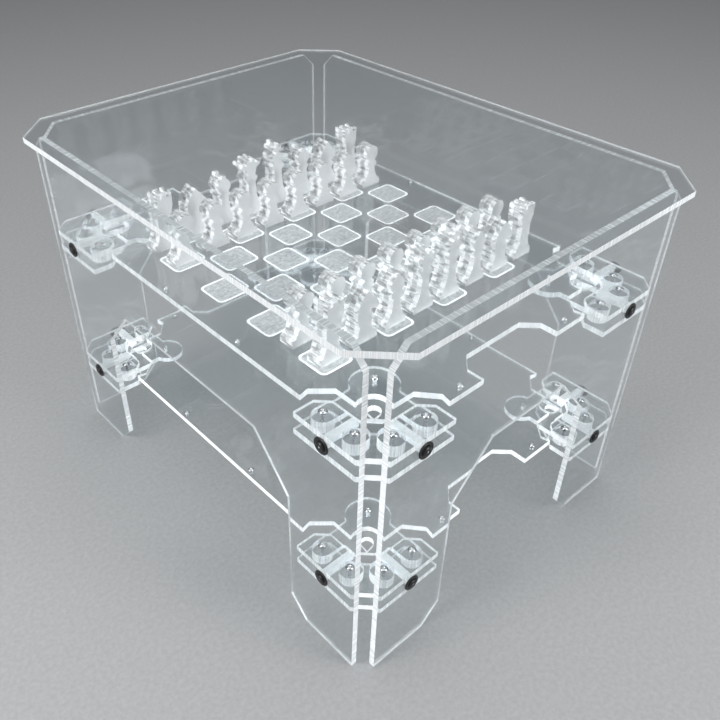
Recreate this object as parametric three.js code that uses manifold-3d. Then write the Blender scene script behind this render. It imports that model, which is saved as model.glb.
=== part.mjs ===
// Clear acrylic chess table: a lift-off top, four arched side panels, a playing
// board and a storage shelf hung on corner brackets, and two armies of chessmen.
// Millimetres, +Z up, origin on the floor at the table's centre.
// The ranks run along Y, the files along X.
import * as THREE from 'three';
import { mergeVertices } from 'three/addons/utils/BufferGeometryUtils.js';
import Module from 'manifold-3d';

const wasm = await Module();
wasm.setup();

// ---- driving dimensions ----
const SHEET = 8;                 // one thickness of acrylic for every flat piece
const TOUCH = 0.3;               // clearance between pieces that rest on each other
const BOND = 0.05;               // overlap that fuses layers glued into one piece

const TABLE_HEIGHT = 510;
const TOP_X = 580;
const TOP_Y = 736;
const TOP_CORNER = 49;           // corner chamfer of the top
const OVERHANG = 18;             // top edge beyond the panels' outer faces

const CORNER_SETBACK = 20;       // panel end short of the next panel's outer face
const PANEL_SHOULDER = 20;       // chamfer at a panel's top corners
const FOOT_WIDTH = 119;
const FOOT_CHAMFER = 30;
const ARCH_SPRING = 218;         // height where a foot's inner edge starts to slant
const ARCH_TOP = 290;
const ARCH_SLANT = 62;           // how far the slanted side runs inwards

const HEADROOM = 141;            // from the playing surface up to the top's underside
const SHELF_SPACING = 224;       // playing surface down to the storage shelf's face
const SHELF_INSET = 23.5;        // shelf edge inside the panels' inner faces
const RECESS_WIDTH = 140;        // finger recess on each player's side
const RECESS_FLOOR = 100;
const RECESS_STEP = 24;
const RECESS_DEPTH = 43;

// corner brackets, measured from the two panels' inner faces
const WING_LENGTH = 120;
const WING_WIDTH = 44.5;
const WING_TIP = 15;             // chamfer at a wing's inner tip
const NOSE = 21;                 // chamfer at the corner gap
const CROTCH = 17;               // chamfer inside the corner of the chevron
const ARM_CENTRE = 98.5;
const ARM_RADIUS = 13.5;
const ARM_REACH = 24.5;          // arm's end screw, from the panel
const WEB_EDGE = 50.5;           // tie plate's edge beside the bolt sleeve
const LOBE_CENTRE = 102.5;
const LOBE_RADIUS = 27;
const NOTCH_CLEARANCE = 19;    // shelf notch past a wing tip
const NOTCH_SLANT = 3;           // rise of the notch's end towards the shelf's edge
const NOTCH_MOUTH = 7.5;         // notch's corner, back from the wing's side
const TAB_SETBACK = 16.5;        // tab's side, out from the wing's side
const TAB_CUT = 2;             // tab's outer corner, short of the wing's tip
const BITE_RADIUS = 18.5;        // round bite in the shelf's corner tab
const BITE_CENTRE = 69.5;
const PICK_RADIUS = 8.5;         // drop-shaped hole in the tie plate
const PICK_POINT = 14;
const SPACER_NEAR = 27;          // second spacer, from one panel
const SPACER_FAR = 51;           // and from the other
const SCREW_RADIUS = 2.5;
const BOLT_RADIUS = 4.25;
const BOLT_RISE = 4;             // bolt above the middle of the gap between a bracket's plates
const BOLT_OFFSET = 69;          // bolt from the neighbouring panel's inner face

// chessmen: flat silhouettes cut across the board, three sheets deep
const SQUARE = 50;
const SQUARES = 8;               // along each side of the board
const MAN_DEPTH = 3 * SHEET;
const FOOT_HALF = 18.5;
const FOOT_LIP = 8;
const FOOT_TOP = 11;
const FOOT_SLOPE = 2.5;          // foot's upper edge, in from its side

const ROUND = 16;                // segments in a small circle

// ---- sizes that follow ----
const outX = TOP_X / 2 - OVERHANG;
const outY = TOP_Y / 2 - OVERHANG;
const inX = outX - SHEET;
const inY = outY - SHEET;
const panelHeight = TABLE_HEIGHT - SHEET - TOUCH;
const boardTop = TABLE_HEIGHT - SHEET - HEADROOM;
const storeTop = boardTop - SHELF_SPACING;

// ---- materials ----
const clearSheet = new THREE.MeshStandardMaterial({
  color: 0xdfe7ea, roughness: 0.06, metalness: 0, transparent: true, opacity: 0.35 });
const clearBracket = new THREE.MeshStandardMaterial({
  color: 0xe4eaec, roughness: 0.08, metalness: 0, transparent: true, opacity: 0.45 });
const frostedMan = new THREE.MeshStandardMaterial({
  color: 0xeceeef, roughness: 0.45, metalness: 0, transparent: true, opacity: 0.85 });
const clearMan = new THREE.MeshStandardMaterial({
  color: 0xdde4e8, roughness: 0.07, metalness: 0, transparent: true, opacity: 0.5 });

// ---- small helpers ----
function shapeFrom(points) {
  return new THREE.Shape(points.map(([x, y]) => new THREE.Vector2(x, y)));
}

function holeAt(x, y, radius) {
  return new THREE.Path(arc(x, y, radius, 0, 360 - 360 / ROUND, ROUND - 1)
    .map(([a, b]) => new THREE.Vector2(a, b)));
}

// points along an arc, from one angle to another in degrees
function arc(cx, cy, radius, from, to, steps) {
  const points = [];
  for (let k = 0; k <= steps; k += 1) {
    const angle = THREE.MathUtils.degToRad(from + (to - from) * k / steps);
    points.push([cx + radius * Math.cos(angle), cy + radius * Math.sin(angle)]);
  }
  return points;
}

// a flat plate lying in XY, from one height to another
function plate(shape, bottom, top) {
  const geometry = new THREE.ExtrudeGeometry(shape, { depth: top - bottom, bevelEnabled: false });
  geometry.translate(0, 0, bottom);
  return geometry;
}

function solid(geometry) {
  const bare = geometry.clone();
  bare.deleteAttribute('normal');
  bare.deleteAttribute('uv');
  const merged = mergeVertices(bare, 1e-4);
  return new wasm.Manifold(new wasm.Mesh({
    numProp: 3,
    vertProperties: merged.attributes.position.array,
    triVerts: new Uint32Array(merged.index.array),
  }));
}

function joined(geometries) {
  const whole = geometries.map(solid).reduce((a, b) => a.add(b));
  const mesh = whole.getMesh();
  const geometry = new THREE.BufferGeometry();
  geometry.setAttribute('position', new THREE.BufferAttribute(mesh.vertProperties, 3));
  geometry.setIndex(new THREE.BufferAttribute(mesh.triVerts, 1));
  geometry.computeVertexNormals();
  return geometry;
}

// x to the right and back again, for an outline that is the same on both sides
function mirrored(half) {
  const left = half.filter(([x]) => x > 0).reverse().map(([x, y]) => [-x, y]);
  return half.concat(left);
}

const table = new THREE.Group();

function addMesh(name, geometry, material) {
  const mesh = new THREE.Mesh(geometry, material);
  mesh.name = name;
  table.add(mesh);
  return mesh;
}

// ---- table top ----
function topOutline() {
  const x = TOP_X / 2;
  const y = TOP_Y / 2;
  const c = TOP_CORNER;
  return [[x, -y + c], [x, y - c], [x - c, y], [-x + c, y],
    [-x, y - c], [-x, -y + c], [-x + c, -y], [x - c, -y]];
}

addMesh('top_sheet', plate(shapeFrom(topOutline()), TABLE_HEIGHT - SHEET, TABLE_HEIGHT), clearSheet);

// ---- side panels: outline in the panel's own width and height ----
function panelOutline(halfWidth) {
  const footInner = halfWidth - FOOT_WIDTH;
  return mirrored([
    [footInner - ARCH_SLANT, ARCH_TOP],
    [footInner, ARCH_SPRING],
    [footInner, FOOT_CHAMFER],
    [footInner + FOOT_CHAMFER, 0],
    [halfWidth, 0],
    [halfWidth, panelHeight - PANEL_SHOULDER],
    [halfWidth - PANEL_SHOULDER, panelHeight],
  ]);
}

function boltHeights() {
  return [boardTop, storeTop].map((top) => top - 2 * SHEET + BOLT_RISE);
}

// neighbourInner is how far out the next panel's inner face lies
function panel(halfWidth, neighbourInner) {
  const shape = shapeFrom(panelOutline(halfWidth));
  for (const height of boltHeights()) {
    for (const side of [-1, 1]) {
      shape.holes.push(holeAt(side * (neighbourInner - BOLT_OFFSET), height, BOLT_RADIUS));
    }
  }
  const geometry = new THREE.ExtrudeGeometry(shape, { depth: SHEET, bevelEnabled: false });
  geometry.rotateX(Math.PI / 2);
  geometry.translate(0, SHEET / 2, 0);
  return geometry;
}

const longHalf = outY - CORNER_SETBACK;
const shortHalf = outX - CORNER_SETBACK;
for (const [name, side] of [['panel_left', -1], ['panel_right', 1]]) {
  const mesh = addMesh(name, panel(longHalf, inY), clearSheet);
  mesh.rotation.z = Math.PI / 2;
  mesh.position.x = side * (outX - SHEET / 2);
}
for (const [name, side] of [['panel_front', -1], ['panel_back', 1]]) {
  const mesh = addMesh(name, panel(shortHalf, inX), clearSheet);
  mesh.position.y = side * (outY - SHEET / 2);
}

// ---- shelves: one quarter's outline, from the +X edge round to the +Y edge ----
function tabAndNotches() {
  const tip = WING_LENGTH + NOTCH_CLEARANCE;
  const side = WING_WIDTH + TAB_SETBACK;
  const meet = THREE.MathUtils.radToDeg(Math.acos((side - BITE_CENTRE) / BITE_RADIUS));
  const bite = arc(BITE_CENTRE, BITE_CENTRE, BITE_RADIUS, meet, 90 - meet, 8);
  const first = [
    [SHELF_INSET, tip - NOTCH_SLANT],
    [WING_WIDTH - NOTCH_MOUTH, tip],
    [side, WING_LENGTH - TAB_CUT],
  ];
  const last = first.slice().reverse().map(([u, v]) => [v, u]);
  return [...first, ...bite, ...last];
}

function quarterOutline() {
  const edge = inY - SHELF_INSET;
  return [
    ...tabAndNotches().map(([u, v]) => [inX - u, inY - v]),
    [RECESS_WIDTH / 2, edge],
    [RECESS_WIDTH / 2, edge - RECESS_STEP],
    [RECESS_FLOOR / 2, edge - RECESS_DEPTH],
  ];
}

function shelfShape() {
  const quarter = quarterOutline();
  const back = quarter.concat(quarter.slice().reverse().map(([x, y]) => [-x, y]));
  const front = back.slice().reverse().map(([x, y]) => [x, -y]);
  const shape = shapeFrom(back.concat(front));
  for (const sx of [-1, 1]) {
    for (const sy of [-1, 1]) {
      shape.holes.push(holeAt(sx * (inX - LOBE_CENTRE), sy * (inY - LOBE_CENTRE), SCREW_RADIUS));
    }
  }
  return shape;
}

addMesh('board_shelf', plate(shelfShape(), boardTop - SHEET, boardTop), clearSheet);
addMesh('storage_shelf', plate(shelfShape(), storeTop - SHEET, storeTop), clearSheet);

// ---- corner brackets, drawn as distances u and v from the two panels ----
function chevronOutline() {
  const inner = WING_WIDTH + CROTCH;
  const half = [
    [TOUCH, NOSE],
    [TOUCH, WING_LENGTH],
    [WING_WIDTH - WING_TIP, WING_LENGTH],
    [WING_WIDTH, WING_LENGTH - WING_TIP],
    [WING_WIDTH, inner],
  ];
  return half.concat(half.slice().reverse().map(([u, v]) => [v, u]));
}

function tieOutline() {
  const low = ARM_CENTRE - ARM_RADIUS;
  const high = ARM_CENTRE + ARM_RADIUS;
  const rise = high - LOBE_CENTRE;
  const start = THREE.MathUtils.radToDeg(Math.asin(rise / LOBE_RADIUS));
  const half = [
    [WEB_EDGE, WEB_EDGE + ARM_RADIUS],
    [WEB_EDGE, low],
    ...arc(ARM_REACH, ARM_CENTRE, ARM_RADIUS, 270, 90, 8),
  ];
  const lobe = arc(LOBE_CENTRE, LOBE_CENTRE, LOBE_RADIUS, 180 - start, start - 90, 14);
  return [...half, ...lobe, ...half.slice().reverse().map(([u, v]) => [v, u])];
}

// a round hole that runs to a point towards the corner
function pickHole(place) {
  const c = BITE_CENTRE;
  const tip = c - PICK_POINT / Math.SQRT2;
  const points = [[tip, tip], ...arc(c, c, PICK_RADIUS, -80, 170, 9)];
  return new THREE.Path(points.map(([u, v]) => new THREE.Vector2(...place(u, v))));
}

function brackets(corner, sx, sy, level, shelfTop) {
  const place = (u, v) => [sx * (inX - u), sy * (inY - v)];
  const flat = (points) => shapeFrom(points.map(([u, v]) => place(u, v)));
  const disc = (u, v) => flat(arc(u, v, ARM_RADIUS, 0, 360 - 360 / ROUND, ROUND - 1));
  const tieTop = shelfTop - SHEET;
  const tieBottom = tieTop - SHEET;
  const lowerTop = tieBottom - SHEET;

  const tie = flat(tieOutline());
  tie.holes.push(pickHole(place));
  tie.holes.push(holeAt(...place(LOBE_CENTRE, LOBE_CENTRE), SCREW_RADIUS));
  addMesh(`tie_bracket_${level}_${corner}`, joined([
    plate(flat(chevronOutline()), tieTop - BOND, shelfTop),
    plate(tie, tieBottom, tieTop - TOUCH),
    plate(disc(ARM_REACH, ARM_CENTRE), tieBottom + SHEET / 2, tieTop),
    plate(disc(ARM_CENTRE, ARM_REACH), tieBottom + SHEET / 2, tieTop),
  ]), clearBracket);

  addMesh(`clamp_bracket_${level}_${corner}`, joined([
    plate(flat(chevronOutline()), lowerTop - SHEET, lowerTop),
    plate(disc(ARM_REACH, ARM_CENTRE), lowerTop - BOND, tieBottom - TOUCH),
    plate(disc(ARM_CENTRE, ARM_REACH), lowerTop - BOND, tieBottom - TOUCH),
    plate(disc(SPACER_NEAR, SPACER_FAR), lowerTop - BOND, tieTop - TOUCH),
    plate(disc(SPACER_FAR, SPACER_NEAR), lowerTop - BOND, tieTop - TOUCH),
  ]), clearBracket);
}

for (const [level, shelfTop] of [['board', boardTop], ['store', storeTop]]) {
  brackets('fl', -1, -1, level, shelfTop);
  brackets('fr', 1, -1, level, shelfTop);
  brackets('bl', -1, 1, level, shelfTop);
  brackets('br', 1, 1, level, shelfTop);
}

// ---- chessmen ----
const foot = [[FOOT_HALF, 0], [FOOT_HALF, FOOT_LIP], [FOOT_HALF - FOOT_SLOPE, FOOT_TOP]];

function pawnOutline() {
  return mirrored([...foot, [13, 12], [8.5, 20], [6.5, 31], [10.5, 35], [10.5, 38.5], [6.5, 41.5],
    ...arc(0, 54, 12.5, -55, 90, 8).map(([x, y]) => [Math.max(x, 0), y])]);
}

function rookOutline() {
  return mirrored([...foot, [13, 14], [9.5, 25], [9, 48], [11, 56], [12.5, 60], [12.5, 78],
    [8, 78], [8, 74], [4, 74], [4, 78]]);
}

function bishopOutline() {
  return mirrored([...foot, [13, 13], [8, 24], [6.5, 40], [10.5, 44], [10.5, 47], [7, 49.5],
    [11.5, 56], [11.5, 61], [8, 68], [4, 70], [4, 75]]);
}

function queenOutline() {
  return mirrored([...foot, [13, 14], [8, 28], [6.5, 50], [10.5, 54], [10.5, 58], [7, 61], [10, 71],
    ...arc(13.5, 77, 3.2, -50, 170, 5), [8, 76], ...arc(4.6, 82.5, 3.2, -10, 190, 5)]);
}

function kingOutline() {
  return mirrored([...foot, [13, 14], [8.5, 28], [7, 54], [11.5, 58], [11.5, 63], [7.5, 66],
    [10.5, 73], [10.5, 77], [6, 80], [2.5, 81.5], [2.5, 85], [7.5, 85], [7.5, 90.5],
    [2.5, 90.5], [2.5, 96]]);
}

function knightOutline() {
  const neck = [[13, 13], [10, 20], [9, 28], [12, 35], [7, 41]];
  const head = [[10, 44], [16, 41], [20, 44], [19, 50], [12, 59], [6, 66], [1, 72]];
  const mane = [[-4, 67], [-11, 59], [-15, 48], [-15, 35], [-12, 24], [-13, 13]];
  const heel = foot.slice().reverse().map(([x, y]) => [-x, y]);
  return [...foot, ...neck, ...head, ...mane, ...heel];
}

function manGeometry(outline) {
  const geometry = new THREE.ExtrudeGeometry(shapeFrom(outline),
    { depth: MAN_DEPTH, bevelEnabled: false });
  geometry.rotateX(Math.PI / 2);
  geometry.translate(0, MAN_DEPTH / 2, 0);
  return geometry;
}

const men = {
  pawn: manGeometry(pawnOutline()),
  rook: manGeometry(rookOutline()),
  knight: manGeometry(knightOutline()),
  bishop: manGeometry(bishopOutline()),
  queen: manGeometry(queenOutline()),
  king: manGeometry(kingOutline()),
};
const backRank = ['rook', 'knight', 'bishop', 'queen', 'king', 'bishop', 'knight', 'rook'];

function squareCentre(index) {
  return (index - (SQUARES + 1) / 2) * SQUARE;
}

function addMan(army, kind, file, rank, material) {
  const mesh = addMesh(`${army}_${kind}_${file}`, men[kind], material);
  mesh.position.set(squareCentre(file), squareCentre(rank), boardTop + TOUCH);
}

for (let file = 1; file <= SQUARES; file += 1) {
  addMan('frosted', backRank[file - 1], file, SQUARES, frostedMan);
  addMan('frosted', 'pawn', file, SQUARES - 1, frostedMan);
  addMan('clear', 'pawn', file, 2, clearMan);
  addMan('clear', backRank[file - 1], file, 1, clearMan);
}

export default table;
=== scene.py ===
"""Looks of the clear acrylic chess table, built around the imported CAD."""

import math

import bmesh
import bpy
from mathutils import Matrix, Vector


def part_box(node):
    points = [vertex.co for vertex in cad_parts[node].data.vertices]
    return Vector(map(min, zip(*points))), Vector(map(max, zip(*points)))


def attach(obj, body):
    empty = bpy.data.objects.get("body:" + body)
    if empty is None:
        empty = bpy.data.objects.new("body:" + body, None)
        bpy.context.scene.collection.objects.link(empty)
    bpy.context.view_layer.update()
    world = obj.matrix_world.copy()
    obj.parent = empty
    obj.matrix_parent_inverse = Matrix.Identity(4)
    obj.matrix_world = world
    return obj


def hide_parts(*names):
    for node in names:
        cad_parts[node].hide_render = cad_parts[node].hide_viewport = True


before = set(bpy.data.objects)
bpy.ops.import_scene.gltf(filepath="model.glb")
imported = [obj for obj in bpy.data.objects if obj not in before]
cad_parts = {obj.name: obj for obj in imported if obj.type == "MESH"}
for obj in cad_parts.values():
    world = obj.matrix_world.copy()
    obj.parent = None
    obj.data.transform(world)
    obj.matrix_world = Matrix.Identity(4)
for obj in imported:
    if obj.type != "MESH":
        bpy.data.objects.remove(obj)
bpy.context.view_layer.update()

# ---- sizes read from the frame, and the few that the CAD does not carry (metres) ----
MM = 0.001
top_low, top_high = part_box("top_sheet")
board_low, board_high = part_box("board_shelf")
store_low, store_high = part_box("storage_shelf")
left_low, left_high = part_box("panel_left")
front_low, front_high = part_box("panel_front")
SHEET = top_high.z - top_low.z
INNER_X = -left_high.x                 # the panels' inner faces
INNER_Y = -front_high.y
OUTER_X = -left_low.x
OUTER_Y = -front_low.y
SQUARE = 50 * MM
BOARD = board_high.z

BOLT_OFFSET = 69 * MM                  # bolt from the neighbouring panel's inner face
BOLT_RISE = 4 * MM                     # bolt above the middle of its bracket's gap
LOBE = 102.5 * MM                      # tie plate's lobe screw, from both panels
ARM = (24.5 * MM, 98.5 * MM)           # spacers, as distances from the two panels
NEAR = (27 * MM, 51 * MM)
EDGE_SCREW_SIDE = (232 * MM, 79 * MM)  # small screws near a shelf's side edges, from its middle
EDGE_SCREW_END = (99 * MM, 308 * MM)   # and near its end edges

CORNERS = {"fl": (-1, -1), "fr": (1, -1), "bl": (-1, 1), "br": (1, 1)}
LEVELS = {"board": board_high.z, "store": store_high.z}
FILES = range(1, 9)
BACK_RANK = ("rook", "knight", "bishop", "queen", "king", "bishop", "knight", "rook")


def place(corner, u, v, z):
    """A point from its distances to the two panels' inner faces at a corner."""
    sx, sy = CORNERS[corner]
    return Vector((sx * (INNER_X - u), sy * (INNER_Y - v), z))


# ---- camera ----
def make_camera():
    data = bpy.data.cameras.new("camera")
    data.sensor_width = 36
    data.lens = 39.75
    data.shift_x = 0.0507
    data.shift_y = 0.0066
    data.clip_end = 20
    camera = bpy.data.objects.new("camera", data)
    bpy.context.scene.collection.objects.link(camera)
    camera.location = (-0.6716, -0.7277, 0.9332)
    azimuth = math.radians(48.5)
    elevation = math.radians(38.18)
    aim = Vector((math.cos(elevation) * math.cos(azimuth),
                  math.cos(elevation) * math.sin(azimuth),
                  -math.sin(elevation)))
    camera.rotation_euler = aim.to_track_quat("-Z", "Y").to_euler()
    bpy.context.scene.camera = camera


# ---- node helpers ----
def new_material(name):
    material = bpy.data.materials.new(name)
    material.use_nodes = True
    tree = material.node_tree
    shader = tree.nodes["Principled BSDF"]
    return material, tree, shader


def node(tree, kind, inputs=None, **settings):
    made = tree.nodes.new(kind)
    for key, value in settings.items():
        setattr(made, key, value)
    for key, value in (inputs or {}).items():
        if isinstance(value, bpy.types.NodeSocket):
            tree.links.new(value, made.inputs[key])
        else:
            made.inputs[key].default_value = value
    return made


def math_node(tree, operation, a, b=0.0, clamp=False):
    made = node(tree, "ShaderNodeMath", {0: a, 1: b}, operation=operation)
    made.use_clamp = clamp
    return made.outputs[0]


def ramp(tree, value, low, high, start=0.0, end=1.0):
    made = node(tree, "ShaderNodeMapRange",
                {"Value": value, "From Min": low, "From Max": high, "To Min": start, "To Max": end})
    made.clamp = True
    return made.outputs[0]


def mix_colour(tree, factor, a, b):
    made = tree.nodes.new("ShaderNodeMix")
    made.data_type = "RGBA"
    for socket, value in ((made.inputs[0], factor), (made.inputs[6], a), (made.inputs[7], b)):
        if isinstance(value, bpy.types.NodeSocket):
            tree.links.new(value, socket)
        else:
            socket.default_value = value
    return made.outputs[2]


def object_point(tree):
    return tree.nodes.new("ShaderNodeTexCoord").outputs["Object"]


def stretched(tree, scale):
    return node(tree, "ShaderNodeMapping", {"Vector": object_point(tree), "Scale": scale}).outputs[0]


def noise(tree, vector, scale, detail=3.0, rough=0.55):
    return node(tree, "ShaderNodeTexNoise",
                {"Vector": vector, "Scale": scale, "Detail": detail, "Roughness": rough}).outputs["Fac"]


def edge_mask(tree, axis):
    """1 on a sheet's cut edges and 0 on its faces: how far the surface turns from the sheet's axis."""
    normal = tree.nodes.new("ShaderNodeNewGeometry").outputs["True Normal"]
    split = node(tree, "ShaderNodeSeparateXYZ", {0: normal})
    along = math_node(tree, "ABSOLUTE", split.outputs[axis])
    return ramp(tree, along, 0.80, 0.93, 1.0, 0.0)


def arris_mask(tree, axis):
    """1 on the chamfers between a sheet's faces and its cut edges, where a painted highlight is laid."""
    normal = tree.nodes.new("ShaderNodeNewGeometry").outputs["True Normal"]
    split = node(tree, "ShaderNodeSeparateXYZ", {0: normal})
    along = math_node(tree, "ABSOLUTE", split.outputs[axis])
    away = math_node(tree, "ABSOLUTE", math_node(tree, "SUBTRACT", along, 0.707))
    return ramp(tree, away, 0.10, 0.16, 1.0, 0.0)


def pass_lamps(material, tree, shader, passed):
    """Lamps shine through the acrylic, dimmed by the colour passed, so that what is under it stays lit."""
    path = tree.nodes.new("ShaderNodeLightPath")
    clear = node(tree, "ShaderNodeBsdfTransparent", {"Color": passed})
    both = node(tree, "ShaderNodeMixShader",
                {0: path.outputs["Is Shadow Ray"], 1: shader.outputs[0], 2: clear.outputs[0]})
    tree.links.new(both.outputs[0], tree.nodes["Material Output"].inputs["Surface"])


# ---- materials ----
def sheet_acrylic(name, axis, face_tint=(0.95, 0.975, 0.985, 1), edge_tint=(0.94, 0.975, 1.0, 1),
                  edge_solid=0.72, painted_glow=0.22, arris_glow=0.9):
    """Clear cast sheet: faces with hairline scratches, cut edges that show striations and carry a painted
    glow, and a painted highlight along the chamfers; both are emission standing in for light the edges
    gather.
    """
    material, tree, shader = new_material(name)
    edge = edge_mask(tree, axis)
    line = arris_mask(tree, axis)
    # striations run through the sheet's thickness, so the noise is drawn out along that axis
    scale = [900.0, 900.0, 900.0]
    scale[axis] = 12.0
    striation = noise(tree, stretched(tree, scale), 1.0, 2.0)
    cloudy = noise(tree, object_point(tree), 9.0, 4.0)
    scratch_a = noise(tree, stretched(tree, (1400.0, 9.0, 60.0)), 1.0, 1.0)
    scratch_b = noise(tree, stretched(tree, (9.0, 1300.0, 60.0)), 1.0, 1.0)
    scratch = math_node(tree, "MAXIMUM", ramp(tree, scratch_a, 0.70, 0.80),
                        ramp(tree, scratch_b, 0.71, 0.80))

    tree.links.new(mix_colour(tree, edge, face_tint, edge_tint), shader.inputs["Base Color"])
    face_rough = math_node(tree, "ADD", ramp(tree, cloudy, 0.3, 0.8, 0.012, 0.045),
                           math_node(tree, "MULTIPLY", scratch, 0.10))
    edge_rough = ramp(tree, striation, 0.3, 0.7, 0.10, 0.34)
    both = node(tree, "ShaderNodeMix", {0: edge, 2: face_rough, 3: edge_rough}).outputs[0]
    tree.links.new(both, shader.inputs["Roughness"])
    edge_clear = ramp(tree, striation, 0.35, 0.7, 0.9 - edge_solid, 1.1 - edge_solid)
    through = node(tree, "ShaderNodeMix", {0: edge, 2: 1.0, 3: edge_clear}).outputs[0]
    tree.links.new(through, shader.inputs["Transmission Weight"])
    shader.inputs["IOR"].default_value = 1.49
    height = math_node(tree, "MULTIPLY", striation, edge)
    height = math_node(tree, "SUBTRACT", height, math_node(tree, "MULTIPLY", scratch, 0.12))
    bump = node(tree, "ShaderNodeBump", {"Height": height, "Strength": 0.35, "Distance": 0.00015})
    tree.links.new(bump.outputs[0], shader.inputs["Normal"])
    shader.inputs["Emission Color"].default_value = (0.95, 0.98, 1.0, 1)
    # painted glow on the cut edges: emission in streaks along the striations
    painted_streaks = math_node(tree, "MULTIPLY", edge, ramp(tree, striation, 0.38, 0.62, painted_glow * 0.3, painted_glow))
    # painted highlight: emission along the chamfers, on top of the edge glow
    tree.links.new(math_node(tree, "ADD", painted_streaks, math_node(tree, "MULTIPLY", line, arris_glow)),
                   shader.inputs["Emission Strength"])
    pass_lamps(material, tree, shader, mix_colour(tree, edge, (0.95, 0.97, 0.975, 1), (0.45, 0.48, 0.5, 1)))
    return material


def engraved(name, density, grain, painted_glow=0.0):
    """Laser-engraved acrylic: a white, scattering surface with raster lines and scuffs, and a painted glow
    (emission) that follows them.
    """
    material, tree, shader = new_material(name)
    lines = noise(tree, stretched(tree, (60.0, 1500.0, 1.0)), 1.0, 2.0)
    scuff = noise(tree, object_point(tree), 240.0, 6.0, 0.7)
    blot = noise(tree, object_point(tree), 22.0, 3.0)
    tone = math_node(tree, "ADD", math_node(tree, "MULTIPLY", lines, 0.45),
                     math_node(tree, "MULTIPLY", scuff, 0.55))
    tree.links.new(mix_colour(tree, ramp(tree, tone, 0.32, 0.68), (0.80, 0.83, 0.85, 1),
                              (0.99, 1.0, 1.0, 1)), shader.inputs["Base Color"])
    tree.links.new(ramp(tree, scuff, 0.3, 0.75, 0.38, 0.78), shader.inputs["Roughness"])
    cover = math_node(tree, "ADD", ramp(tree, tone, 0.36, 0.66, density - grain, density + grain),
                      ramp(tree, blot, 0.35, 0.7, -0.06, 0.06), clamp=True)
    tree.links.new(cover, shader.inputs["Alpha"])
    shader.inputs["IOR"].default_value = 1.49
    # painted glow: emission, brighter on the raster lines and scuffs
    shader.inputs["Emission Color"].default_value = (0.96, 0.98, 1.0, 1)
    tree.links.new(ramp(tree, tone, 0.3, 0.7, painted_glow * 0.5, painted_glow), shader.inputs["Emission Strength"])
    bump = node(tree, "ShaderNodeBump", {"Height": tone, "Strength": 0.7, "Distance": 0.0004})
    tree.links.new(bump.outputs[0], shader.inputs["Normal"])
    return material


def man_acrylic(name, frost, face_tint, edge_tint, face_solid, edge_solid, painted_glow, face_glow, passed):
    """Chessman sheet: flat faces smooth or frosted, cut edges striated and paler, with a painted glow
    (emission) on both.
    """
    material, tree, shader = new_material(name)
    edge = edge_mask(tree, 1)
    striation = noise(tree, stretched(tree, (420.0, 14.0, 620.0)), 1.0, 2.0)
    mist = noise(tree, object_point(tree), 320.0, 4.0, 0.65)
    cloudy = noise(tree, object_point(tree), 60.0, 3.0)
    block = noise(tree, stretched(tree, (70.0, 60.0, 150.0)), 1.0, 2.0)
    dark_edge = tuple(channel * 0.50 for channel in edge_tint[:3]) + (1,)
    cut = mix_colour(tree, ramp(tree, block, 0.40, 0.52), dark_edge, edge_tint)
    tree.links.new(mix_colour(tree, edge, face_tint, cut), shader.inputs["Base Color"])
    face_rough = ramp(tree, mist, 0.3, 0.7, 0.03 + frost * 0.40, 0.07 + frost * 0.62)
    edge_rough = ramp(tree, striation, 0.3, 0.7, 0.12, 0.38)
    tree.links.new(node(tree, "ShaderNodeMix", {0: edge, 2: face_rough, 3: edge_rough}).outputs[0],
                   shader.inputs["Roughness"])
    face_clear = ramp(tree, cloudy, 0.35, 0.7, 1.0 - face_solid, 0.88 - face_solid)
    edge_clear = ramp(tree, striation, 0.40, 0.60, 0.9 - edge_solid, 1.3 - edge_solid)
    tree.links.new(node(tree, "ShaderNodeMix", {0: edge, 2: face_clear, 3: edge_clear}).outputs[0],
                   shader.inputs["Transmission Weight"])
    shader.inputs["IOR"].default_value = 1.49
    height = math_node(tree, "ADD", math_node(tree, "MULTIPLY", striation, edge),
                       math_node(tree, "MULTIPLY", mist, 0.35 * frost))
    bump = node(tree, "ShaderNodeBump", {"Height": height, "Strength": 0.4, "Distance": 0.0002})
    tree.links.new(bump.outputs[0], shader.inputs["Normal"])
    # painted glow: emission on the flat faces, and on the cut edges along the striations, dimmer on the
    # darker blocks
    shader.inputs["Emission Color"].default_value = (0.96, 0.98, 1.0, 1)
    cut_glow = math_node(tree, "MULTIPLY", ramp(tree, striation, 0.42, 0.58, painted_glow * 0.25, painted_glow),
                         ramp(tree, block, 0.40, 0.52, 0.25, 1.0))
    flat_glow = ramp(tree, mist, 0.3, 0.7, face_glow * 0.6, face_glow)
    tree.links.new(node(tree, "ShaderNodeMix", {0: edge, 2: flat_glow, 3: cut_glow}).outputs[0],
                   shader.inputs["Emission Strength"])
    pass_lamps(material, tree, shader, passed)
    return material


def steel(name):
    material, tree, shader = new_material(name)
    turned = noise(tree, stretched(tree, (300.0, 300.0, 2200.0)), 1.0, 3.0)
    tree.links.new(mix_colour(tree, turned, (0.62, 0.63, 0.65, 1), (0.84, 0.85, 0.87, 1)),
                   shader.inputs["Base Color"])
    tree.links.new(ramp(tree, turned, 0.3, 0.7, 0.14, 0.34), shader.inputs["Roughness"])
    shader.inputs["Metallic"].default_value = 1.0
    bump = node(tree, "ShaderNodeBump", {"Height": turned, "Strength": 0.3, "Distance": 0.0001})
    tree.links.new(bump.outputs[0], shader.inputs["Normal"])
    return material


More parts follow.
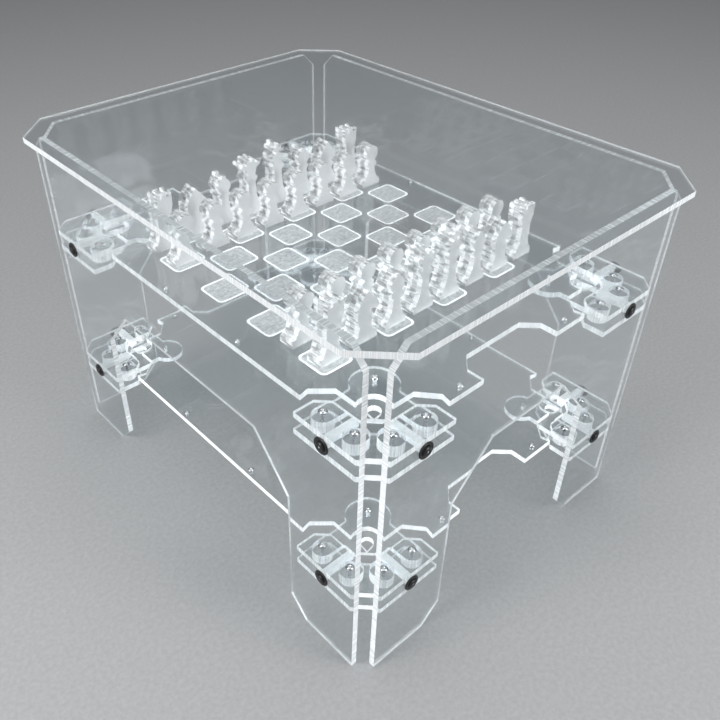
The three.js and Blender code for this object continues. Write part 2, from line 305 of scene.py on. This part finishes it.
def black_nylon(name):
    material, tree, shader = new_material(name)
    grain = noise(tree, object_point(tree), 900.0, 4.0, 0.6)
    worn = noise(tree, object_point(tree), 120.0, 3.0)
    tree.links.new(mix_colour(tree, ramp(tree, worn, 0.5, 0.8), (0.012, 0.012, 0.013, 1),
                              (0.04, 0.04, 0.042, 1)), shader.inputs["Base Color"])
    tree.links.new(ramp(tree, grain, 0.3, 0.7, 0.28, 0.5), shader.inputs["Roughness"])
    bump = node(tree, "ShaderNodeBump", {"Height": grain, "Strength": 0.3, "Distance": 0.0001})
    tree.links.new(bump.outputs[0], shader.inputs["Normal"])
    return material


# ---- mesh helpers ----
def finished(name, bm, materials):
    bmesh.ops.recalc_face_normals(bm, faces=bm.faces)
    mesh = bpy.data.meshes.new(name)
    bm.to_mesh(mesh)
    bm.free()
    for material in materials:
        mesh.materials.append(material)
    piece = bpy.data.objects.new(name, mesh)
    bpy.context.scene.collection.objects.link(piece)
    return piece


def soften(piece, width, segments=2, angle=30):
    bevel = piece.modifiers.new("edge", "BEVEL")
    bevel.width = width
    bevel.segments = segments
    bevel.limit_method = "ANGLE"
    bevel.angle_limit = math.radians(angle)
    for face in piece.data.polygons:
        face.use_smooth = False
    return piece


def fit_out(piece):
    """A piece that belongs to the fixed part of the table."""
    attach(piece, "table_frame")


def prism(bm, outline, to_point, low, high, slot=0):
    """Extrudes an outline between two depths; to_point turns (a, b, depth) into a point."""
    bottom = [bm.verts.new(to_point(a, b, low)) for a, b in outline]
    top = [bm.verts.new(to_point(a, b, high)) for a, b in outline]
    faces = [bm.faces.new(bottom[::-1]), bm.faces.new(top)]
    count = len(outline)
    for k in range(count):
        after = (k + 1) % count
        faces.append(bm.faces.new((bottom[k], bottom[after], top[after], top[k])))
    for face in faces:
        face.material_index = slot


def lathe(bm, profile, matrix, steps=32, slot=0):
    """Turns (radius, height) points about a matrix's Z axis; the ends of the profile lie on the axis."""
    rings = []
    for radius, height in profile:
        if radius < 1e-9:
            rings.append([bm.verts.new(matrix @ Vector((0, 0, height)))])
            continue
        rings.append([bm.verts.new(matrix @ Vector((radius * math.cos(math.tau * k / steps),
                                                    radius * math.sin(math.tau * k / steps), height)))
                      for k in range(steps)])
    for low, high in zip(rings, rings[1:]):
        for k in range(steps):
            after = (k + 1) % steps
            corners = [low[k % len(low)], low[after % len(low)],
                       high[after % len(high)], high[k % len(high)]]
            unique = list(dict.fromkeys(corners))
            if len(unique) > 2:
                face = bm.faces.new(unique)
                face.smooth = True
                face.material_index = slot


def arc(cx, cy, radius, start, end, steps):
    return [(cx + radius * math.cos(math.radians(start + (end - start) * k / steps)),
             cy + radius * math.sin(math.radians(start + (end - start) * k / steps)))
            for k in range(steps + 1)]


def rounded_square(half, radius, steps=6):
    inner = half - radius
    outline = []
    for quarter, (sx, sy) in enumerate(((1, 1), (-1, 1), (-1, -1), (1, -1))):
        outline += arc(sx * inner, sy * inner, radius, 90 * quarter, 90 * quarter + 90, steps)
    return outline


# ---- engraved squares ----
def square_centre(index):
    return (index - 4.5) * SQUARE


def engraved_squares(rim_material, field_material):
    """Each dark square: a bright outline cut solid, round a finer raster field a hair lower; the outline's
    brightness is partly a painted glow from its material.
    """
    half = 24.8 * MM
    rim = 2.7 * MM
    radius = 8.0 * MM
    proud = 0.16 * MM
    bm = bmesh.new()
    for i in FILES:
        for j in FILES:
            if (i + j) % 2:
                continue
            cx, cy = square_centre(i), square_centre(j)
            outer = rounded_square(half, radius)
            inner = rounded_square(half - rim, radius - rim * 0.6)
            rings = []
            for outline, z in ((outer, 0.02 * MM), (outer, proud), (inner, proud), (inner, 0.05 * MM)):
                rings.append([bm.verts.new((cx + x, cy + y, BOARD + z)) for x, y in outline])
            count = len(outer)
            for low, high in zip(rings, rings[1:]):
                for k in range(count):
                    after = (k + 1) % count
                    bm.faces.new((low[k], low[after], high[after], high[k])).material_index = 0
            bm.faces.new(rings[-1]).material_index = 1
            bm.faces.new(rings[0][::-1]).material_index = 1
    fit_out(finished("board_squares", bm, [rim_material, field_material]))


# ---- hardware: turned profiles as (radius, height) ----
NUT = [(0, 0), (3.6 * MM, 0), (4.0 * MM, 0.6 * MM), (4.0 * MM, 2.8 * MM), (3.5 * MM, 3.3 * MM),
       (0, 3.3 * MM)]
WASHER = [(4.4 * MM, 0.05 * MM), (10.6 * MM, 0.05 * MM), (11.2 * MM, 0.6 * MM), (11.0 * MM, 1.6 * MM),
          (10.0 * MM, 2.3 * MM), (9.0 * MM, 2.3 * MM), (8.5 * MM, 1.8 * MM), (7.4 * MM, 1.7 * MM),
          (4.4 * MM, 1.6 * MM), (4.4 * MM, 0.05 * MM)]
BOLT_HEAD = [(0, 1.2 * MM), (6.6 * MM, 1.2 * MM), (6.9 * MM, 2.2 * MM), (6.3 * MM, 3.6 * MM),
             (4.6 * MM, 4.7 * MM), (2.7 * MM, 5.1 * MM), (2.4 * MM, 4.9 * MM), (2.2 * MM, 2.6 * MM),
             (0, 2.4 * MM)]
BOLT_REACH = 45 * MM                   # bolt past the panel's inner face


def towards(origin, direction):
    return Matrix.Translation(origin) @ Vector(direction).to_track_quat("Z", "Y").to_matrix().to_4x4()


def button_head(radius, height, socket, shank, length):
    """Profile of a domed screw with a socket in its head; the shank runs down from the head's seat."""
    dome = [(radius * math.cos(math.radians(a)), height * math.sin(math.radians(a)))
            for a in range(0, 70, 12)]
    top = height * 0.93
    return [(0, -length), (shank * 0.7, -length), (shank, -length + shank * 0.5), (shank, -0.0001),
            (radius, 0), *dome[1:],
            (socket, top), (socket * 0.95, top - height * 0.5), (0, top - height * 0.6)]


def threads(bm, matrix, radius, start, end, pitch, slot):
    """Rings of a screw thread along the shank."""
    turns = int((end - start) / pitch)
    for k in range(turns):
        z = start + k * pitch
        root = radius * 0.86
        lathe(bm, [(0, z), (root, z), (radius, z + pitch * 0.5), (root, z + pitch), (0, z + pitch)],
              matrix, 12, slot)


def sleeves(corner, bolt_height, material, name):
    """The two white sleeves round a bracket's bolts."""
    sx, sy = CORNERS[corner]
    half_width = 5.2 * MM
    half_height = 3.9 * MM
    reach = 46 * MM
    outline = [(-half_width, -half_height), (half_width, -half_height),
               (half_width, half_height), (-half_width, half_height)]
    up = Vector((0, 0, 1))
    bm = bmesh.new()
    for outward, centre in (((sx, 0, 0), (sx * INNER_X, sy * (INNER_Y - BOLT_OFFSET), bolt_height)),
                            ((0, sy, 0), (sx * (INNER_X - BOLT_OFFSET), sy * INNER_Y, bolt_height))):
        out = Vector(outward)
        origin = Vector(centre)
        side = up.cross(out)
        prism(bm, outline, lambda a, b, depth: origin + side * a + up * b - out * depth, 0.6 * MM, reach)
    fit_out(soften(finished(name, bm, [material]), 0.8 * MM))


def corner_hardware(corner, level, steel_material, nylon_material, sleeve_material):
    """The screws, bolts, washers and sleeves of one bracket."""
    sx, sy = CORNERS[corner]
    top = LEVELS[level]
    bolt_height = top - 2 * SHEET + BOLT_RISE
    bottom = top - 4 * SHEET
    bm = bmesh.new()
    black = bmesh.new()
    up = (0, 0, 1)
    for u, v in (ARM, ARM[::-1], NEAR, NEAR[::-1]):
        seat = place(corner, u, v, top)
        screw = button_head(4.4 * MM, 2.6 * MM, 1.7 * MM, 2.0 * MM, 4 * SHEET + 1.5 * MM)
        lathe(bm, screw, towards(seat, up), 24, 0)
        lathe(bm, [(0, 0), (5.6 * MM, 0), (5.6 * MM, -0.1 * MM), (0, -0.1 * MM)], towards(seat, up), 24, 0)
        under = place(corner, u, v, bottom)
        lathe(bm, NUT, towards(under, (0, 0, -1)), 6, 0)
    seat = place(corner, LOBE, LOBE, top)
    screw = button_head(4.6 * MM, 2.8 * MM, 1.8 * MM, 2.2 * MM, 2 * SHEET + 1.4 * MM)
    lathe(bm, screw, towards(seat, up), 24, 0)
    under = place(corner, LOBE, LOBE, top - 2 * SHEET)
    lathe(bm, NUT, towards(under, (0, 0, -1)), 6, 0)

    for outward, seat in (((sx, 0, 0), (sx * OUTER_X, sy * (INNER_Y - BOLT_OFFSET), bolt_height)),
                          ((0, sy, 0), (sx * (INNER_X - BOLT_OFFSET), sy * OUTER_Y, bolt_height))):
        matrix = towards(Vector(seat), outward)
        lathe(black, WASHER, matrix, 32)
        lathe(black, BOLT_HEAD, matrix, 32)
        lathe(bm, [(0, 2.45 * MM), (2.1 * MM, 2.5 * MM), (1.9 * MM, 4.2 * MM), (0, 4.6 * MM)], matrix, 16, 0)
        shank = SHEET + BOLT_REACH
        lathe(bm, [(0, -shank), (2.4 * MM, -shank), (2.9 * MM, -shank + 0.8 * MM),
                   (2.9 * MM, 1.3 * MM), (0, 1.3 * MM)], matrix, 16, 0)
        threads(bm, matrix, 3.1 * MM, -shank + 1.5 * MM, -SHEET - 2 * MM, 1.25 * MM, 0)
    fit_out(finished(f"screws_{level}_{corner}", bm, [steel_material]))
    fit_out(finished(f"bolt_heads_{level}_{corner}", black, [nylon_material]))
    sleeves(corner, bolt_height, sleeve_material, f"sleeves_{level}_{corner}")


def edge_screws(level, steel_material):
    """The small round-headed screws along a shelf's edges."""
    bm = bmesh.new()
    spots = [(sx * x, sy * y) for x, y in (EDGE_SCREW_SIDE, EDGE_SCREW_END)
             for sx in (-1, 1) for sy in (-1, 1)]
    for x, y in spots:
        matrix = towards(Vector((x, y, LEVELS[level])), (0, 0, 1))
        lathe(bm, button_head(4.2 * MM, 2.5 * MM, 1.6 * MM, 1.9 * MM, SHEET + 3 * MM), matrix, 24, 0)
        matrix = towards(Vector((x, y, LEVELS[level] - SHEET)), (0, 0, -1))
        lathe(bm, [(0, 0.1 * MM), (3.7 * MM, 0.1 * MM), (3.7 * MM, 2.6 * MM), (0, 2.6 * MM)], matrix, 6, 0)
    fit_out(finished(f"edge_screws_{level}", bm, [steel_material]))


# ---- chessmen: half outlines (width, height) in millimetres, feet first ----
FOOT_HALF = 18.5
FOOT_TOP = 11
FOOT = [(FOOT_HALF, 0), (FOOT_HALF, 8), (FOOT_HALF - 2.5, FOOT_TOP)]
LAYER = 8 * MM                         # one of a man's three sheets
GLUE = 0.06 * MM                       # half the gap at a glue line
MIDDLE_CUT = 0.5                       # middle sheet drawn in from the outer two


def mirrored(half):
    return half + [(-x, z) for x, z in reversed(half) if x > 0]


def pawn():
    return mirrored(FOOT + [(13, 12), (8.5, 20), (6.5, 31), (10.5, 35), (10.5, 38.5), (6.5, 41.5)]
                    + [(max(x, 0), z) for x, z in arc(0, 54, 12.5, -55, 90, 14)])


def rook():
    return mirrored(FOOT + [(13, 14), (9.5, 25), (9, 48), (11, 56), (12.5, 60), (12.5, 78),
                            (8, 78), (8, 74), (4, 74), (4, 78)])


def bishop():
    return mirrored(FOOT + [(13, 13), (8, 24), (6.5, 40), (10.5, 44), (10.5, 47), (7, 49.5),
                            (11.5, 56), (11.5, 61), (8, 68), (4, 70), (4, 75)])


def queen():
    return mirrored(FOOT + [(13, 14), (8, 28), (6.5, 50), (10.5, 54), (10.5, 58), (7, 61), (10, 71)]
                    + arc(13.5, 77, 3.2, -50, 170, 8) + [(8, 76)] + arc(4.6, 82.5, 3.0, -10, 190, 8))


def king():
    return mirrored(FOOT + [(13, 14), (8.5, 28), (7, 54), (11.5, 58), (11.5, 63), (7.5, 66),
                            (10.5, 73), (10.5, 77), (6, 80),
                            (2.5, 81.5), (2.5, 85), (7.5, 85), (7.5, 90.5), (2.5, 90.5), (2.5, 96)])


def knight():
    neck = [(13, 13), (10, 20), (9, 28), (12, 35), (7, 41)]
    head = [(10, 44), (16, 41), (20, 44), (19, 50), (12, 59), (6, 66), (1, 72)]
    mane = [(-4, 67), (-11, 59), (-15, 48), (-15, 35), (-12, 24), (-13, 13)]
    return FOOT + neck + head + mane + [(-x, z) for x, z in reversed(FOOT)]


OUTLINES = {"pawn": pawn, "rook": rook, "knight": knight, "bishop": bishop, "queen": queen, "king": king}


def narrowed(outline, cut):
    """The middle sheet's outline: drawn in above the foot, and a little lower at the top."""
    top = max(z for _, z in outline)
    slim = []
    for x, z in outline:
        if z > FOOT_TOP:
            x = math.copysign(max(abs(x) - cut, 0.8), x) if x else 0
            z = z - cut * 0.8 * (z - FOOT_TOP) / (top - FOOT_TOP)
        slim.append((x, z))
    return slim


def man_mesh(kind, face_material, core_material):
    """Three silhouettes face to face with a hair's gap at each glue line."""
    bm = bmesh.new()
    outline = OUTLINES[kind]()
    for k in (-1, 0, 1):
        shape = narrowed(outline, MIDDLE_CUT) if k == 0 else outline
        low = (k - 0.5) * LAYER + GLUE
        high = (k + 0.5) * LAYER - GLUE
        prism(bm, shape, lambda a, b, depth: Vector((a * MM, depth, b * MM)), low, high, int(k == 0))
    bmesh.ops.recalc_face_normals(bm, faces=bm.faces)
    mesh = bpy.data.meshes.new(kind)
    bm.to_mesh(mesh)
    bm.free()
    mesh.materials.append(face_material)
    mesh.materials.append(core_material)
    return mesh


def stand_man(army, kind, file, mesh):
    name = f"{army}_{kind}_{file}"
    low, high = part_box(name)
    piece = bpy.data.objects.new(f"man_{name}", mesh)
    bpy.context.scene.collection.objects.link(piece)
    piece.location = ((low.x + high.x) / 2, (low.y + high.y) / 2, low.z)
    if kind == "knight":
        piece.location.x = low.x + FOOT_HALF * MM
    soften(piece, 0.45 * MM, 1, 25)
    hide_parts(name)
    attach(piece, name)


def chessmen(materials):
    for army in ("frosted", "clear"):
        meshes = {kind: man_mesh(kind, *materials[army]) for kind in OUTLINES}
        for file in FILES:
            stand_man(army, BACK_RANK[file - 1], file, meshes[BACK_RANK[file - 1]])
            stand_man(army, "pawn", file, meshes["pawn"])


# ---- CAD nodes keep their shapes and get their materials ----
def dress(names, material, arris=0.8 * MM):
    """Gives CAD sheets their material and the small chamfer along every cut edge."""
    for name in names:
        node_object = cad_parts[name]
        mesh = node_object.data
        mesh.materials.clear()
        mesh.materials.append(material)
        for face in mesh.polygons:
            face.material_index = 0
            face.use_smooth = False
        flat = node_object.modifiers.new("flat", "DECIMATE")
        flat.decimate_type = "DISSOLVE"
        flat.angle_limit = math.radians(1)
        chamfer = node_object.modifiers.new("arris", "BEVEL")
        chamfer.width = arris
        chamfer.segments = 1
        chamfer.limit_method = "ANGLE"
        chamfer.angle_limit = math.radians(30)
        chamfer.use_clamp_overlap = False


# ---- stage ----
def floor_material():
    material, tree, shader = new_material("floor_paint")
    speck = noise(tree, object_point(tree), 160.0, 5.0, 0.6)
    tree.links.new(mix_colour(tree, ramp(tree, speck, 0.35, 0.7), (0.44, 0.445, 0.45, 1),
                              (0.51, 0.515, 0.52, 1)), shader.inputs["Base Color"])
    shader.inputs["Roughness"].default_value = 0.75
    return material


def make_floor():
    bm = bmesh.new()
    corners = [bm.verts.new((x, y, -0.0005)) for x, y in ((-9, -9), (9, -9), (9, 9), (-9, 9))]
    bm.faces.new(corners)
    floor = finished("floor", bm, [floor_material()])


def area_light(name, location, target, size, power):
    data = bpy.data.lights.new(name, "AREA")
    data.shape = "RECTANGLE"
    data.size, data.size_y = size
    data.energy = power
    light = bpy.data.objects.new(name, data)
    light.location = location
    light.rotation_euler = (Vector(target) - Vector(location)).to_track_quat("-Z", "Y").to_euler()
    bpy.context.scene.collection.objects.link(light)


def make_lights():
    world = bpy.data.worlds.new("studio")
    world.use_nodes = True
    world.node_tree.nodes["Background"].inputs[0].default_value = (0.80, 0.84, 0.88, 1)
    world.node_tree.nodes["Background"].inputs[1].default_value = 0.18
    bpy.context.scene.world = world
    area_light("overhead", (0.3, 0.4, 4.6), (0.2, 0.3, 0), (3.2, 2.8), 62)
    area_light("left", (-2.5, 0.2, 1.5), (0, 0, 0.3), (1.1, 1.5), 52)
    area_light("right", (0.9, -2.6, 1.4), (0, 0, 0.3), (1.1, 1.5), 46)


make_camera()
make_lights()
make_floor()

# each sheet's painted glow on its cut edges and painted highlight on its chamfers are set here
sheet_top = sheet_acrylic("acrylic_top", 2, edge_solid=0.70, painted_glow=0.30, arris_glow=1.3)
sheet_shelf = sheet_acrylic("acrylic_shelf", 2, edge_solid=0.88, painted_glow=0.75)
sheet_bracket = sheet_acrylic("acrylic_bracket", 2, edge_solid=0.80, painted_glow=0.60, arris_glow=1.6)
dress(["top_sheet"], sheet_top)
dress(["board_shelf", "storage_shelf"], sheet_shelf)
dress(["panel_left", "panel_right"],
      sheet_acrylic("acrylic_side_panel", 0, edge_solid=0.58, painted_glow=0.32, arris_glow=1.3))
dress(["panel_front", "panel_back"],
      sheet_acrylic("acrylic_end_panel", 1, edge_solid=0.58, painted_glow=0.32, arris_glow=1.3))
dress([f"{kind}_bracket_{level}_{corner}" for kind in ("tie", "clamp")
       for level in LEVELS for corner in CORNERS], sheet_bracket)

# the rim and field carry a painted glow (emission), strongest on the rim
engraved_squares(engraved("engraved_rim", 1.0, 0.02, 1.1), engraved("engraved_field", 0.60, 0.30, 0.16))
steel_bright = steel("steel_screw")
nylon = black_nylon("black_washer")
# the sleeves carry a painted glow (emission) on their sanded white
sleeve_white = engraved("sleeve_sanded", 1.0, 0.04, 0.55)
for corner in CORNERS:
    for level in LEVELS:
        corner_hardware(corner, level, steel_bright, nylon, sleeve_white)
for level in LEVELS:
    edge_screws(level, steel_bright)
PALE = (0.92, 0.935, 0.95, 1)
WHITE = (1.0, 1.0, 1.0, 1)
FROSTED_SHADE = (0.45, 0.46, 0.47, 1)
CLEAR_SHADE = (0.70, 0.72, 0.73, 1)
# the men's materials carry a painted glow (emission) on faces and cut edges; the SHADE colours only dim the
# lamp light that passes through them
chessmen({
    "frosted": (man_acrylic("men_frosted", 0.8, WHITE, WHITE, 0.74, 0.92, 0.75, 0.14, FROSTED_SHADE),
                man_acrylic("men_frosted_core", 0.6, WHITE, WHITE, 0.55, 0.70, 0.40, 0.04, FROSTED_SHADE)),
    "clear": (man_acrylic("men_clear", 0.12, WHITE, WHITE, 0.52, 0.88, 0.75, 0.10, CLEAR_SHADE),
              man_acrylic("men_clear_core", 0.3, WHITE, WHITE, 0.35, 0.66, 0.38, 0.02, CLEAR_SHADE)),
})

view = bpy.context.scene.view_settings
view.view_transform = "Standard"
cycles = bpy.context.scene.cycles
cycles.max_bounces = 24
cycles.transmission_bounces = 20
cycles.transparent_max_bounces = 32
cycles.glossy_bounces = 8
cycles.diffuse_bounces = 4
cycles.caustics_reflective = False
cycles.caustics_refractive = False
